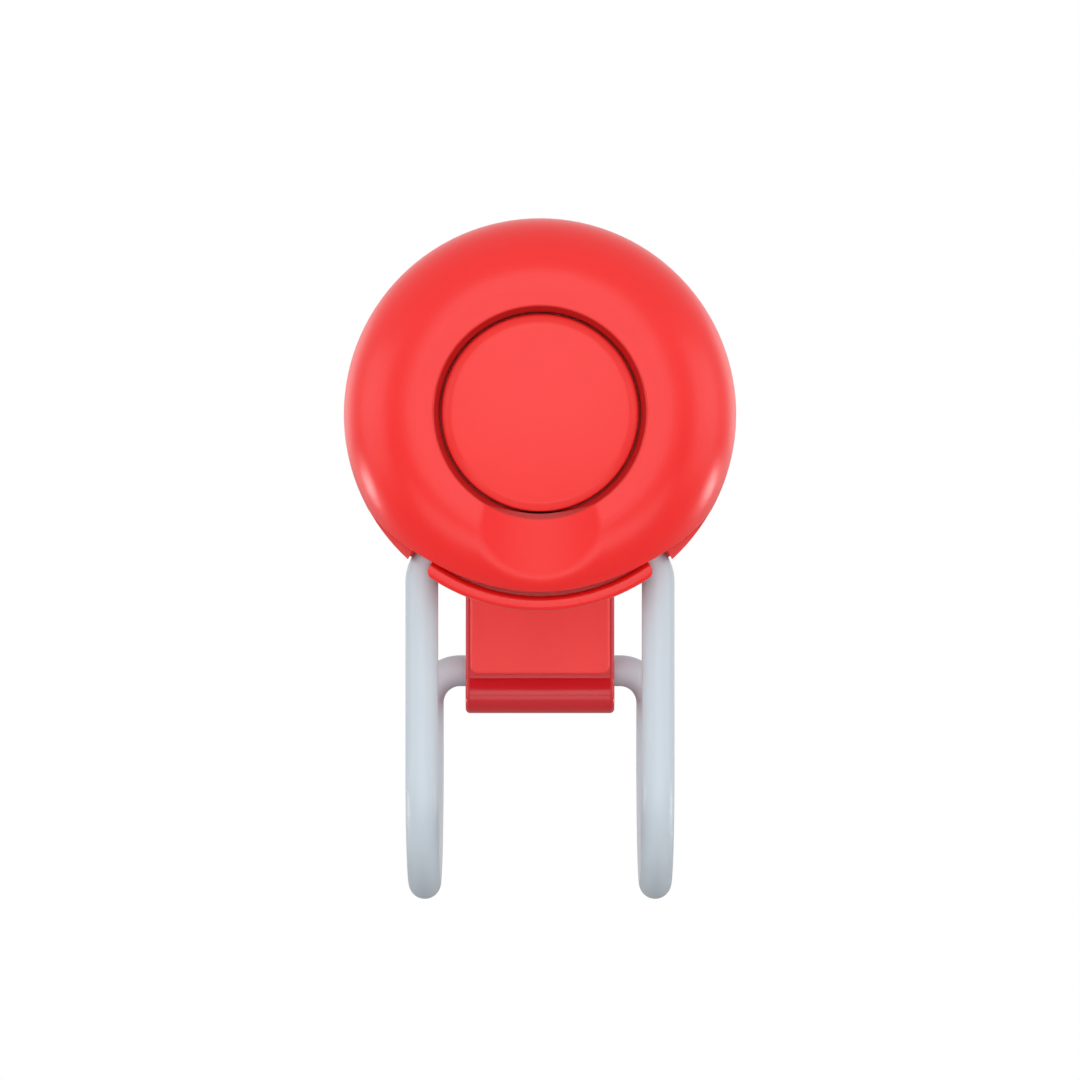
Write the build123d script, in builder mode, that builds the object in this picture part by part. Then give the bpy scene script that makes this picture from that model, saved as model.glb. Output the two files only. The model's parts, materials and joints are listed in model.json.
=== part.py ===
from build123d import *
import os
from math import atan2, cos, degrees, hypot, radians, sin, sqrt, tan

# Clip-on push-button metronome, in millimetres.
# The origin is on the axis of the bar that the wire loop hangs on.
# +X is to the right, +Y points away from the player, and +Z is up.

# Wire loop: one round wire bent into two U-bends joined by a front and a rear section
WIRE_DIAMETER = 4.2
LEG_SPACING = 30.3
LOOP_DEPTH = 31.8
CORNER_RADIUS = 4.3
HINGE_HEIGHT = 28.25
LATCH_HEIGHT = 11.55
SWING_ANGLE = 45.0

# Case: a domed front cover on a bowl-shaped rear cover
CASE_DIAMETER = 50.0
CASE_ABOVE_HINGE = 17.0
HINGE_SETBACK = 3.5
CREST_DIAMETER = 31.3
DOME_HEIGHT = 9.3
WALL = 2.0
RIM_BAND = 1.0
REAR_BAND = 2.0
BACK_DIAMETER = 26.0
BACK_EDGE = 1.2
TONGUE_THICKNESS = 0.8
TONGUE_LENGTH = 1.5

# Chin: the round undercut of the front cover that clears the wire hinge
CHIN_RADIUS = 13.9
CHIN_SETBACK = 8.1
CHIN_DROP = 23.3
CHIN_EDGE = 0.4
CHIN_WALL = 1.6
HINGE_BLOCK_DEPTH = 12.5

# Push button and its well
BUTTON_DIAMETER = 24.8
BUTTON_TRAVEL = 1.2
BUTTON_SINK = 0.6
BUTTON_BEVEL = 1.1
BUTTON_BEVEL_DEPTH = 0.5
BUTTON_ROOF = 2.7
BUTTON_CROWN = 0.5
BUTTON_WALL = 1.6
STEM_DIAMETER = 3.0
FLANGE_OVERLAP = 0.7
FLANGE_THICKNESS = 0.8
WELL_FLARE = 0.7
WELL_FLARE_DEPTH = 1.1
WELL_EDGE = 0.3
SLEEVE_WALL = 1.6
SLEEVE_LENGTH = 3.3

# Finger scoop: a shallow trough from the button down over the crest, leaning back as it goes down
SCOOP_RADIUS = 22.5
SCOOP_DEPTH = 1.2
SCOOP_TILT = 4.0
SCOOP_EDGE = 3.0
SCOOP_WALL = 1.6

# Keeper: the curved lip that holds the front section of the wire in its groove
KEEPER_HALF_ANGLE = 36.0
KEEPER_REACH = 4.3
KEEPER_BAND = 4.0
KEEPER_EDGE = 0.8
KEEPER_TIP = 1.2
LIP_WIDTH = 1.9
LIP_PROUD = 2.0
SADDLE_WIDTH = 20.8
KEEPER_SCREW_SPACING = 14.0
KEEPER_SCREW_RISE = 4.1
KEEPER_SCREW_BITE = 3.0

# Hook arm on the back, and its pad
ARM_WIDTH = 20.0
ARM_THICKNESS = 3.6
ARM_DROP = 3.2
ARM_CORNER = 2.5
HOOK_WALL = 3.4
HOOK_EDGE = 0.6
HOOK_TIP_RISE = 2.6
BEAD_DIAMETER = 5.3
BEAD_PROUD = 1.0
ARM_SCREW_SPACING = 12.6
ARM_SCREW_DROP = 6.2
PAD_WIDTH = 18.7
PAD_THICKNESS = 0.6
PAD_TOP_DROP = 16.0
PAD_CORNER = 1.3
PAD_EDGE = 0.5

# Circuit board and what it carries
BOARD_DIAMETER = 34.0
BOARD_THICKNESS = 1.2
BOARD_SETBACK = 2.0
BOARD_POST_RADIUS = 15.4
BOARD_POST_DIAMETER = 3.4
BOARD_POST_ANGLES = (90, 190, 350)
SWITCH_WIDTH = 6.2
SWITCH_HEIGHT = 3.4
PLUNGER_DIAMETER = 3.2
PLUNGER_SEAT = 0.6
SPRING_DIAMETER = 11.4
SPRING_WIRE = 0.7
SPRING_TURNS = 4
CHIP_WIDTH = 5.0
CHIP_HEIGHT = 1.0
CHIP_SIDE = 10.6
CHIP_RISE = 2.0

# Battery
CELL_DIAMETER = 16.0
CELL_THICKNESS = 3.2
CELL_RISE = 2.5
HOLDER_WALL = 1.2
HOLDER_FLOOR = 0.5
CLIP_WIDTH = 4.0
CLIP_THICKNESS = 0.4

# Speaker
SPEAKER_DIAMETER = 15.0
SPEAKER_RISE = 2.5
SPEAKER_DEPTH = 3.5
SPEAKER_RIM = 1.6
BASKET_THICKNESS = 0.8
CONE_THICKNESS = 0.3
CONE_DEPTH = 1.6
CONE_APEX_DIAMETER = 4.0
MAGNET_DIAMETER = 8.0
MAGNET_DEPTH = 2.2
GASKET_THICKNESS = 1.0
RIB_THICKNESS = 1.0
RIB_HEIGHT = 3.0
SOUND_HOLE_DIAMETER = 1.2
SOUND_RING_RADII = (2.3, 4.4)
SOUND_RING_COUNTS = (6, 12)

# Screws
CASE_SCREW_RADIUS = 19.6
CASE_SCREW_ANGLES = (40, 140, 195, 345)
CASE_SCREW_SEAT = 12.0
PILLAR_DIAMETER = 4.4
WELL_WALL = 1.0
WELL_SHELF = 2.0
SCREW_DIAMETER = 1.8
SCREW_HEAD_DIAMETER = 3.4
SCREW_HEAD_HEIGHT = 1.2
SCREW_BITE = 5.0
COUNTERSINK_ANGLE = 90.0
DRIVE_LENGTH = 2.0
DRIVE_WIDTH = 0.5
DRIVE_DEPTH = 0.6

# Clearances
RUNNING_FIT = 0.1
BUTTON_GAP = 0.3
LOOSE_FIT = 0.3
LAP_FIT = 0.2
SCREW_FIT = 0.05

# Places worked out from the driving dimensions
wire_radius = WIRE_DIAMETER / 2
bore_radius = wire_radius + RUNNING_FIT
leg_x = LEG_SPACING / 2
loop_radius = LOOP_DEPTH / 2
hinge_y = -loop_radius
latch_y = loop_radius
rim_y = hinge_y - HINGE_SETBACK
axis_z = HINGE_HEIGHT + CASE_ABOVE_HINGE
case_radius = CASE_DIAMETER / 2
crest_radius = CREST_DIAMETER / 2
back_radius = BACK_DIAMETER / 2
latch_drop = axis_z - LATCH_HEIGHT
latch_setback = HINGE_SETBACK + LOOP_DEPTH
hook_radius = bore_radius + HOOK_WALL
rear_depth = latch_setback - hook_radius
arm_back = rear_depth + ARM_THICKNESS
bead_radius = BEAD_DIAMETER / 2
bead_front = BEAD_PROUD - rear_depth
pad_end = latch_drop + hook_radius - BEAD_DIAMETER
chin_cover_radius = CHIN_RADIUS + CHIN_WALL
button_radius = BUTTON_DIAMETER / 2
hole_radius = button_radius + BUTTON_GAP
sleeve_radius = hole_radius + SLEEVE_WALL
flange_radius = hole_radius + FLANGE_OVERLAP
sleeve_end = DOME_HEIGHT - SLEEVE_LENGTH
flange_front = sleeve_end - LOOSE_FIT
flange_back = flange_front - FLANGE_THICKNESS
button_face = DOME_HEIGHT - BUTTON_SINK
board_radius = BOARD_DIAMETER / 2
board_back = BOARD_SETBACK + BOARD_THICKNESS
switch_top = SWITCH_HEIGHT - BOARD_SETBACK
plunger_top = switch_top + BUTTON_TRAVEL + LOOSE_FIT
button_ceiling = button_face - BUTTON_ROOF
cell_radius = CELL_DIAMETER / 2
holder_radius = cell_radius + LOOSE_FIT + HOLDER_WALL
speaker_radius = SPEAKER_DIAMETER / 2
back_inside = rear_depth - WALL
screw_radius = SCREW_DIAMETER / 2
head_radius = SCREW_HEAD_DIAMETER / 2
pillar_radius = PILLAR_DIAMETER / 2
countersink_depth = (head_radius - screw_radius) / tan(radians(COUNTERSINK_ANGLE / 2))
slot_inner = SADDLE_WIDTH / 2
well_radius = head_radius + LOOSE_FIT
slot_outer = leg_x + wire_radius + LOOSE_FIT
tongue_radius = case_radius - WALL - LAP_FIT
swing = radians(SWING_ANGLE)
scoop_tilt = radians(SCOOP_TILT)
swing_radius = wire_radius + LOOSE_FIT
slot_corner = CORNER_RADIUS + swing_radius
latch_reach = hypot(LOOP_DEPTH, HINGE_HEIGHT - LATCH_HEIGHT)
latch_angle = degrees(atan2(LATCH_HEIGHT - HINGE_HEIGHT, -LOOP_DEPTH)) % 360
board_chord = CHIN_DROP - sqrt(chin_cover_radius**2 - (CHIN_SETBACK - board_back) ** 2) - LOOSE_FIT
cell_front = board_back + HOLDER_FLOOR
speaker_back = back_inside - GASKET_THICKNESS
cone_apex = SPEAKER_DEPTH - BASKET_THICKNESS - LOOSE_FIT - speaker_back

# Working planes: the middle of the case rim, seen from the front, in section and from the side
case_axis = Axis((0, rim_y, axis_z), (0, 1, 0))
front_plane = Plane(origin=(0, rim_y, axis_z), x_dir=(1, 0, 0), z_dir=(0, -1, 0))
section_plane = Plane(origin=(0, rim_y, axis_z), x_dir=(1, 0, 0), z_dir=(0, 0, -1))
back_plane = Plane(origin=(0, rim_y, axis_z), x_dir=(-1, 0, 0), z_dir=(0, 1, 0))
arm_plane = back_plane.offset(arm_back)
side_plane = Plane(origin=(0, rim_y, axis_z), x_dir=(0, -1, 0), z_dir=(-1, 0, 0))
speaker_plane = Plane(origin=(0, rim_y, axis_z + SPEAKER_RISE), x_dir=(1, 0, 0), z_dir=(0, -1, 0))
speaker_section = Plane(origin=(0, rim_y, axis_z + SPEAKER_RISE), x_dir=(1, 0, 0), z_dir=(0, 0, -1))
speaker_axis = Axis((0, rim_y, axis_z + SPEAKER_RISE), (0, 1, 0))
scoop_plane = Plane(
    origin=(
        0,
        rim_y - DOME_HEIGHT + SCOOP_DEPTH - hole_radius * tan(scoop_tilt) - SCOOP_RADIUS / cos(scoop_tilt),
        axis_z,
    ),
    x_dir=(1, 0, 0),
    z_dir=(0, sin(scoop_tilt), -cos(scoop_tilt)),
)
hinge_axis = Axis((0, hinge_y, HINGE_HEIGHT), (1, 0, 0))
hinge_plane = Plane(origin=(0, hinge_y, HINGE_HEIGHT), x_dir=(1, 0, 0), z_dir=(0, -1, 0))
swung_plane = Plane(
    origin=(0, hinge_y, HINGE_HEIGHT),
    x_dir=(1, 0, 0),
    z_dir=(0, -cos(swing), -sin(swing)),
)

# Points on the side plane: forward of the rim plane, above the case axis
hinge_point = (-HINGE_SETBACK, -CASE_ABOVE_HINGE)
latch_point = (-latch_setback, -latch_drop)
chin_point = (-CHIN_SETBACK, -CHIN_DROP)
bead_point = (bead_front - bead_radius, bead_radius - latch_drop - hook_radius)


def polar_points(radius, angles):
    """Points on a circle about the case axis, at the angles given."""
    return [(radius * cos(radians(a)), radius * sin(radians(a))) for a in angles]


case_screw_points = polar_points(CASE_SCREW_RADIUS, CASE_SCREW_ANGLES)
board_post_points = polar_points(BOARD_POST_RADIUS, BOARD_POST_ANGLES)
keeper_screw_drop = CASE_ABOVE_HINGE - KEEPER_SCREW_RISE
keeper_screw_points = [(side * KEEPER_SCREW_SPACING / 2, -keeper_screw_drop) for side in (-1, 1)]
arm_screw_points = [(side * ARM_SCREW_SPACING / 2, -ARM_SCREW_DROP) for side in (-1, 1)]


# Wire loop: half of the bent wire, mirrored to the other side
with BuildPart() as wire_bail:
    with BuildLine() as wire_path:
        front_run = Line((0, hinge_y, HINGE_HEIGHT), (leg_x - CORNER_RADIUS, hinge_y, HINGE_HEIGHT))
        front_corner = TangentArc(
            front_run @ 1,
            (leg_x, hinge_y, HINGE_HEIGHT - CORNER_RADIUS),
            tangent=front_run % 1,
        )
        front_leg = Line(front_corner @ 1, (leg_x, hinge_y, 0))
        u_bend = TangentArc(front_leg @ 1, (leg_x, latch_y, 0), tangent=front_leg % 1)
        rear_leg = Line(u_bend @ 1, (leg_x, latch_y, LATCH_HEIGHT - CORNER_RADIUS))
        rear_corner = TangentArc(
            rear_leg @ 1,
            (leg_x - CORNER_RADIUS, latch_y, LATCH_HEIGHT),
            tangent=rear_leg % 1,
        )
        Line(rear_corner @ 1, (0, latch_y, LATCH_HEIGHT))
    with BuildSketch(Plane(origin=wire_path.line @ 0, z_dir=wire_path.line % 0)):
        Circle(wire_radius)
    sweep()
    mirror(about=Plane.YZ)
wire_bail.part.label = "wire_bail"


# Room inside the front cover, with the button sleeve, the screw pillars and the chin wall left out
with BuildPart() as front_room:
    with BuildSketch(section_plane):
        with BuildLine():
            room_shoulder = EllipticalCenterArc(
                (crest_radius, 0),
                case_radius - crest_radius - WALL,
                DOME_HEIGHT - WALL,
                start_angle=0,
                arc_size=90,
            )
            Polyline(
                room_shoulder @ 1,
                (0, DOME_HEIGHT - WALL),
                (0, -RIM_BAND),
                (case_radius - WALL, -RIM_BAND),
                room_shoulder @ 0,
            )
        make_face()
    revolve(axis=case_axis)
    with BuildSketch(side_plane):
        with Locations(chin_point):
            Circle(chin_cover_radius)
    extrude(amount=case_radius, both=True, mode=Mode.SUBTRACT)
    with BuildSketch(scoop_plane):
        Circle(SCOOP_RADIUS + SCOOP_WALL)
    extrude(amount=CASE_DIAMETER, mode=Mode.SUBTRACT)
    with BuildSketch(front_plane.offset(-RIM_BAND)):
        with Locations(*case_screw_points):
            Circle(pillar_radius)
    extrude(amount=RIM_BAND + DOME_HEIGHT, mode=Mode.SUBTRACT)
    with BuildSketch(front_plane.offset(-RIM_BAND)):
        with Locations(*board_post_points):
            Circle(BOARD_POST_DIAMETER / 2)
    extrude(amount=RIM_BAND + DOME_HEIGHT, mode=Mode.SUBTRACT)
    with BuildSketch(front_plane.offset(sleeve_end)):
        Circle(sleeve_radius)
    extrude(amount=SLEEVE_LENGTH, mode=Mode.SUBTRACT)

# Front cover: a crest round the button well that rolls down to the rim, undercut at the chin
with BuildPart() as front_cover:
    with BuildSketch(section_plane):
        with BuildLine():
            shoulder = EllipticalCenterArc(
                (crest_radius, 0),
                case_radius - crest_radius,
                DOME_HEIGHT,
                start_angle=0,
                arc_size=90,
            )
            Polyline(
                shoulder @ 1,
                (0, DOME_HEIGHT),
                (0, -RIM_BAND),
                (case_radius, -RIM_BAND),
                shoulder @ 0,
            )
        make_face()
    revolve(axis=case_axis)
    with BuildSketch(side_plane):
        with Locations(chin_point):
            Circle(CHIN_RADIUS)
    extrude(amount=case_radius + WALL, both=True, mode=Mode.SUBTRACT)
    chin_edges = front_cover.edges(Select.NEW).filter_by(GeomType.LINE, reverse=True)
    fillet(chin_edges, CHIN_EDGE)
    with BuildSketch(scoop_plane):
        Circle(SCOOP_RADIUS)
    extrude(amount=CASE_DIAMETER, both=True, mode=Mode.SUBTRACT)
    fillet(front_cover.edges(Select.NEW), SCOOP_EDGE)
    add(front_room.part, mode=Mode.SUBTRACT)
    with BuildSketch(section_plane) as well_section:
        Polygon(
            (0, sleeve_end - WALL),
            (hole_radius, sleeve_end - WALL),
            (hole_radius, DOME_HEIGHT - WELL_FLARE_DEPTH),
            (hole_radius + WELL_FLARE, DOME_HEIGHT),
            (crest_radius, DOME_HEIGHT),
            (crest_radius, DOME_HEIGHT + WALL),
            (0, DOME_HEIGHT + WALL),
            align=None,
        )
        well_rim = well_section.vertices().sort_by_distance((hole_radius + WELL_FLARE, DOME_HEIGHT, 0))[0]
        fillet(well_rim, WELL_EDGE)
    revolve(axis=case_axis, mode=Mode.SUBTRACT)
    with BuildSketch(front_plane.offset(-BOARD_SETBACK)):
        with Locations(*board_post_points):
            Circle(BOARD_POST_DIAMETER / 2)
    extrude(amount=BOARD_SETBACK - RIM_BAND)
    with BuildSketch(front_plane.offset(-BOARD_SETBACK)):
        with Locations(*board_post_points):
            Circle(screw_radius)
    extrude(amount=SCREW_BITE, mode=Mode.SUBTRACT)
    with BuildSketch(front_plane.offset(-RIM_BAND)):
        with Locations(*case_screw_points):
            Circle(screw_radius)
    extrude(amount=SCREW_BITE, mode=Mode.SUBTRACT)
front_cover.part.label = "front_cover"


# Room inside the rear cover, with the screw pillars, the speaker rib and the hinge block left out
with BuildPart() as rear_room:
    with BuildSketch(section_plane):
        with BuildLine():
            room_band = Line((case_radius - WALL, -RIM_BAND), (case_radius - WALL, -RIM_BAND - REAR_BAND))
            room_bowl = TangentArc(room_band @ 1, (back_radius - WALL, -back_inside), tangent=room_band % 1)
            Polyline(room_bowl @ 1, (0, -back_inside), (0, -RIM_BAND), room_band @ 0)
        make_face()
    revolve(axis=case_axis)
    with BuildSketch(side_plane):
        with Locations(chin_point):
            Circle(chin_cover_radius)
        with Locations((-HINGE_BLOCK_DEPTH, 0)):
            Rectangle(
                HINGE_BLOCK_DEPTH,
                2 * CASE_DIAMETER,
                align=(Align.MIN, Align.CENTER),
                mode=Mode.INTERSECT,
            )
    extrude(amount=case_radius, both=True, mode=Mode.SUBTRACT)
    with BuildSketch(front_plane.offset(-rear_depth)):
        with Locations(*case_screw_points):
            Circle(pillar_radius)
    extrude(amount=rear_depth, mode=Mode.SUBTRACT)
    with BuildSketch(front_plane.offset(-rear_depth)):
        with Locations(*case_screw_points):
            Circle(well_radius + WELL_WALL)
    extrude(amount=rear_depth - CASE_SCREW_SEAT + WELL_SHELF, mode=Mode.SUBTRACT)
    with BuildSketch(front_plane.offset(-back_inside)):
        with Locations(*arm_screw_points):
            Circle(pillar_radius)
    extrude(amount=SCREW_BITE + WALL, mode=Mode.SUBTRACT)
    with BuildSketch(speaker_plane.offset(-back_inside)):
        Circle(speaker_radius + LOOSE_FIT + RIB_THICKNESS)
        Circle(speaker_radius + LOOSE_FIT, mode=Mode.SUBTRACT)
    extrude(amount=RIB_HEIGHT, mode=Mode.SUBTRACT)

# Rear cover: a bowl with a flat back, a tongue for the front cover and two slots for the wire legs
with BuildPart() as rear_cover:
    with BuildSketch(section_plane):
        with BuildLine():
            band = Line((case_radius, -RIM_BAND), (case_radius, -RIM_BAND - REAR_BAND))
            bowl = TangentArc(band @ 1, (back_radius, -rear_depth), tangent=band % 1)
            Polyline(bowl @ 1, (0, -rear_depth), (0, -RIM_BAND), band @ 0)
        make_face()
    revolve(axis=case_axis)
    back_rim = rear_cover.edges().filter_by(GeomType.CIRCLE).sort_by(Axis.Y)[-1]
    fillet(back_rim, BACK_EDGE)
    add(rear_room.part, mode=Mode.SUBTRACT)
    with BuildSketch(front_plane.offset(-RIM_BAND - REAR_BAND)):
        Circle(case_radius - WALL / 2)
        Circle(tongue_radius - TONGUE_THICKNESS, mode=Mode.SUBTRACT)
    extrude(amount=REAR_BAND)
    with BuildSketch(front_plane.offset(-RIM_BAND)):
        Circle(tongue_radius)
        Circle(tongue_radius - TONGUE_THICKNESS, mode=Mode.SUBTRACT)
    extrude(amount=TONGUE_LENGTH)
    with BuildSketch(side_plane):
        with Locations(chin_point):
            Circle(chin_cover_radius + LOOSE_FIT)
        with Locations((-RIM_BAND, 0)):
            Rectangle(
                CASE_DIAMETER,
                2 * CASE_DIAMETER,
                align=(Align.MIN, Align.CENTER),
                mode=Mode.INTERSECT,
            )
    extrude(amount=case_radius, both=True, mode=Mode.SUBTRACT)
    with BuildSketch(side_plane):
        with Locations((-HINGE_SETBACK, -CHIN_DROP)):
            Rectangle(CASE_DIAMETER, 2 * CASE_DIAMETER, align=(Align.MIN, Align.CENTER))
        with Locations(chin_point):
            Circle(CHIN_RADIUS, mode=Mode.INTERSECT)
    extrude(amount=slot_inner, both=True, mode=Mode.SUBTRACT)
    with BuildSketch(side_plane):
        with Locations(hinge_point):
            Circle(bore_radius)
    extrude(amount=slot_inner, both=True, mode=Mode.SUBTRACT)
    with BuildSketch(hinge_plane) as doorway:
        with Locations((0, swing_radius)):
            Rectangle(2 * slot_outer, CASE_DIAMETER, align=(Align.CENTER, Align.MAX))
        fillet(doorway.vertices().group_by(Axis.Y)[-1], slot_corner)
        Rectangle(2 * slot_inner, 2 * CASE_DIAMETER, mode=Mode.SUBTRACT)
    extrude(amount=HINGE_SETBACK, mode=Mode.SUBTRACT)
    with BuildSketch(side_plane):
        with Locations(hinge_point):
            Circle(swing_radius)
    extrude(amount=slot_outer - slot_corner, both=True, mode=Mode.SUBTRACT)
    with BuildSketch(hinge_plane):
        add(doorway.sketch_local)
        Rectangle(2 * CASE_DIAMETER, CASE_DIAMETER, align=(Align.CENTER, Align.MIN), mode=Mode.SUBTRACT)
    revolve(axis=hinge_axis, revolution_arc=SWING_ANGLE, mode=Mode.SUBTRACT)
    with BuildSketch(swung_plane):
        add(doorway.sketch_local)
    extrude(amount=-swing_radius, mode=Mode.SUBTRACT)
    with BuildSketch(front_plane):
        with Locations(*keeper_screw_points):
            Circle(screw_radius + SCREW_FIT)
    extrude(amount=-HINGE_BLOCK_DEPTH, mode=Mode.SUBTRACT)
    with BuildSketch(front_plane):
        with Locations(*case_screw_points):
            Circle(screw_radius + SCREW_FIT)
    extrude(amount=-rear_depth, mode=Mode.SUBTRACT)
    with BuildSketch(front_plane.offset(-CASE_SCREW_SEAT)):
        with Locations(*case_screw_points):
            Circle(well_radius)
    extrude(amount=-rear_depth, mode=Mode.SUBTRACT)
    with BuildSketch(front_plane.offset(-rear_depth)):
        with Locations(*arm_screw_points):
            Circle(screw_radius + SCREW_FIT)
    extrude(amount=WALL + SCREW_BITE, mode=Mode.SUBTRACT)
    with BuildSketch(speaker_plane.offset(-back_inside)):
        Circle(SOUND_HOLE_DIAMETER / 2)
        for ring_radius, ring_count in zip(SOUND_RING_RADII, SOUND_RING_COUNTS):
            with PolarLocations(ring_radius, ring_count):
                Circle(SOUND_HOLE_DIAMETER / 2)
    extrude(amount=-WALL, mode=Mode.SUBTRACT)
rear_cover.part.label = "rear_cover"


# Keeper: a block with the front half of the wire groove, under a curved lip that follows the rim
with BuildPart() as bail_keeper:
    with BuildSketch(front_plane.offset(-HINGE_SETBACK)):
        Circle(case_radius)
        Rectangle(
            SADDLE_WIDTH - 2 * RUNNING_FIT,
            CASE_DIAMETER,
            align=(Align.CENTER, Align.MAX),
            mode=Mode.INTERSECT,
        )
    extrude(amount=HINGE_SETBACK + KEEPER_REACH)
    with BuildSketch(front_plane.offset(wire_radius + LOOSE_FIT - HINGE_SETBACK)) as lip_outline:
        with BuildLine():
            outer_lip = CenterArc((0, 0), case_radius, 270 - KEEPER_HALF_ANGLE, 2 * KEEPER_HALF_ANGLE)
            inner_lip = CenterArc(
                (0, 0),
                case_radius - KEEPER_BAND,
                270 - KEEPER_HALF_ANGLE,
                2 * KEEPER_HALF_ANGLE,
            )
            Line(outer_lip @ 0, inner_lip @ 0)
            Line(outer_lip @ 1, inner_lip @ 1)
        make_face()
        fillet(lip_outline.vertices(), KEEPER_TIP)
    extrude(amount=HINGE_SETBACK + KEEPER_REACH - wire_radius - LOOSE_FIT)
    with BuildSketch(side_plane):
        with Locations(chin_point):
            Circle(CHIN_RADIUS - LOOSE_FIT)
    extrude(amount=case_radius, both=True, mode=Mode.INTERSECT)
    with BuildSketch(side_plane):
        with Locations(hinge_point):
            Circle(bore_radius)
    extrude(amount=case_radius, both=True, mode=Mode.SUBTRACT)
    with BuildSketch(front_plane.offset(-HINGE_SETBACK)):
        with Locations(*keeper_screw_points):
            Circle(screw_radius + SCREW_FIT)
    extrude(amount=KEEPER_SCREW_BITE, mode=Mode.SUBTRACT)
    with BuildSketch(section_plane) as rounded_rim:
        with Locations((0, KEEPER_REACH - LIP_PROUD)):
            Rectangle(case_radius, HINGE_SETBACK + KEEPER_REACH, align=(Align.MIN, Align.MAX))
        with Locations((case_radius, KEEPER_REACH)):
            Rectangle(LIP_WIDTH, HINGE_SETBACK + KEEPER_REACH, align=(Align.MAX, Align.MAX))
        fillet(rounded_rim.vertices().group_by(Axis.Y)[-1], KEEPER_EDGE)
    revolve(axis=case_axis, mode=Mode.INTERSECT)
bail_keeper.part.label = "bail_keeper"


# Hook arm: a flat arm down from the back of the case, with a rolled bead along its lower front edge and
# a hook round the rear wire section
with BuildPart() as hook_arm:
    with BuildSketch(side_plane):
        with Locations((-rear_depth, -ARM_DROP)):
            Rectangle(ARM_THICKNESS, latch_drop - ARM_DROP, align=(Align.MAX, Align.MAX))
        with Locations(latch_point):
            Circle(hook_radius)
        with Locations(bead_point):
            Circle(bead_radius)
            Rectangle(latch_setback + bead_point[0], bead_radius, align=(Align.MAX, Align.MAX))
    extrude(amount=ARM_WIDTH / 2, both=True)
    top_corners = hook_arm.edges().filter_by(Axis.Y).group_by(Axis.Z)[-1]
    fillet(top_corners, ARM_CORNER)
    side_edges = hook_arm.faces().filter_by(Axis.X).edges()
    fillet(side_edges, HOOK_EDGE)
    with BuildSketch(side_plane):
        with BuildLine(mode=Mode.PRIVATE) as mouth_path:
            CenterArc(hinge_point, latch_reach, latch_angle, -SWING_ANGLE)
        SlotArc(mouth_path.wire(), 2 * bore_radius)
        with Locations((-latch_setback, HOOK_TIP_RISE - latch_drop)):
            Rectangle(2 * hook_radius, 2 * hook_radius, align=(Align.MAX, Align.MIN))
        with Locations((-arm_back, -latch_drop)):
            Rectangle(latch_setback - arm_back, 2 * hook_radius, align=(Align.MAX, Align.MIN))
    extrude(amount=ARM_WIDTH, both=True, mode=Mode.SUBTRACT)
    with Locations(arm_plane):
        with Locations(*arm_screw_points):
            CounterSinkHole(
                screw_radius + SCREW_FIT,
                head_radius + SCREW_FIT,
                depth=ARM_THICKNESS,
                counter_sink_angle=COUNTERSINK_ANGLE,
            )
hook_arm.part.label = "hook_arm"


# Grip pad: a thin raised pad with rounded lower corners on the front of the arm
with BuildPart() as grip_pad:
    with BuildSketch(front_plane.offset(-rear_depth)) as pad_outline:
        with Locations((0, -PAD_TOP_DROP)):
            Rectangle(PAD_WIDTH, pad_end - PAD_TOP_DROP, align=(Align.CENTER, Align.MAX))
        fillet(pad_outline.vertices().group_by(Axis.Y)[0], PAD_CORNER)
    extrude(amount=PAD_THICKNESS)
    fillet(grip_pad.faces().sort_by(Axis.Y)[0].edges(), PAD_EDGE)
grip_pad.part.label = "grip_pad"


# Push button: a crowned cap with a bevelled edge, a stem to the switch and a flange behind the sleeve,
# with a flat on the flange that clears the chin
with BuildPart() as push_button:
    with BuildSketch(section_plane):
        with BuildLine():
            crown = TangentArc(
                (0, button_face + BUTTON_CROWN),
                (button_radius - BUTTON_BEVEL, button_face),
                tangent=(1, 0),
            )
            Polyline(
                crown @ 1,
                (button_radius, button_face - BUTTON_BEVEL_DEPTH),
                (button_radius, flange_front),
                (flange_radius, flange_front),
                (flange_radius, flange_back),
                (button_radius - BUTTON_WALL, flange_back),
                (button_radius - BUTTON_WALL, button_ceiling),
                (STEM_DIAMETER / 2, button_ceiling),
                (STEM_DIAMETER / 2, plunger_top),
                (0, plunger_top),
                crown @ 0,
            )
        make_face()
    revolve(axis=case_axis)
    with BuildSketch(front_plane.offset(flange_back)):
        with Locations((0, -button_radius)):
            Rectangle(BUTTON_DIAMETER, BUTTON_DIAMETER, align=(Align.CENTER, Align.MAX))
    extrude(amount=FLANGE_THICKNESS, mode=Mode.SUBTRACT)
push_button.part.label = "push_button"


# Return spring: a coil between the board and the inside of the button
spring_start = -BOARD_SETBACK + SPRING_WIRE / 2 + SCREW_FIT
spring_length = button_ceiling - SPRING_WIRE / 2 - SCREW_FIT - spring_start
with BuildPart() as button_spring:
    with BuildLine() as coil:
        Helix(
            pitch=spring_length / SPRING_TURNS,
            height=spring_length,
            radius=(SPRING_DIAMETER - SPRING_WIRE) / 2,
            center=(0, rim_y - spring_start, axis_z),
            direction=(0, -1, 0),
        )
    with BuildSketch(Plane(origin=coil.line @ 0, z_dir=coil.line % 0)):
        Circle(SPRING_WIRE / 2)
    sweep(is_frenet=True)
button_spring.part.label = "button_spring"


# Circuit board: a round board with a straight edge above the hinge block
with BuildPart() as circuit_board:
    with BuildSketch(front_plane.offset(-BOARD_SETBACK)):
        Circle(board_radius)
        with Locations((0, -board_chord)):
            Rectangle(BOARD_DIAMETER, BOARD_DIAMETER, align=(Align.CENTER, Align.MAX), mode=Mode.SUBTRACT)
        with Locations(*board_post_points):
            Circle(screw_radius + SCREW_FIT, mode=Mode.SUBTRACT)
    extrude(amount=-BOARD_THICKNESS)
circuit_board.part.label = "circuit_board"


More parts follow.
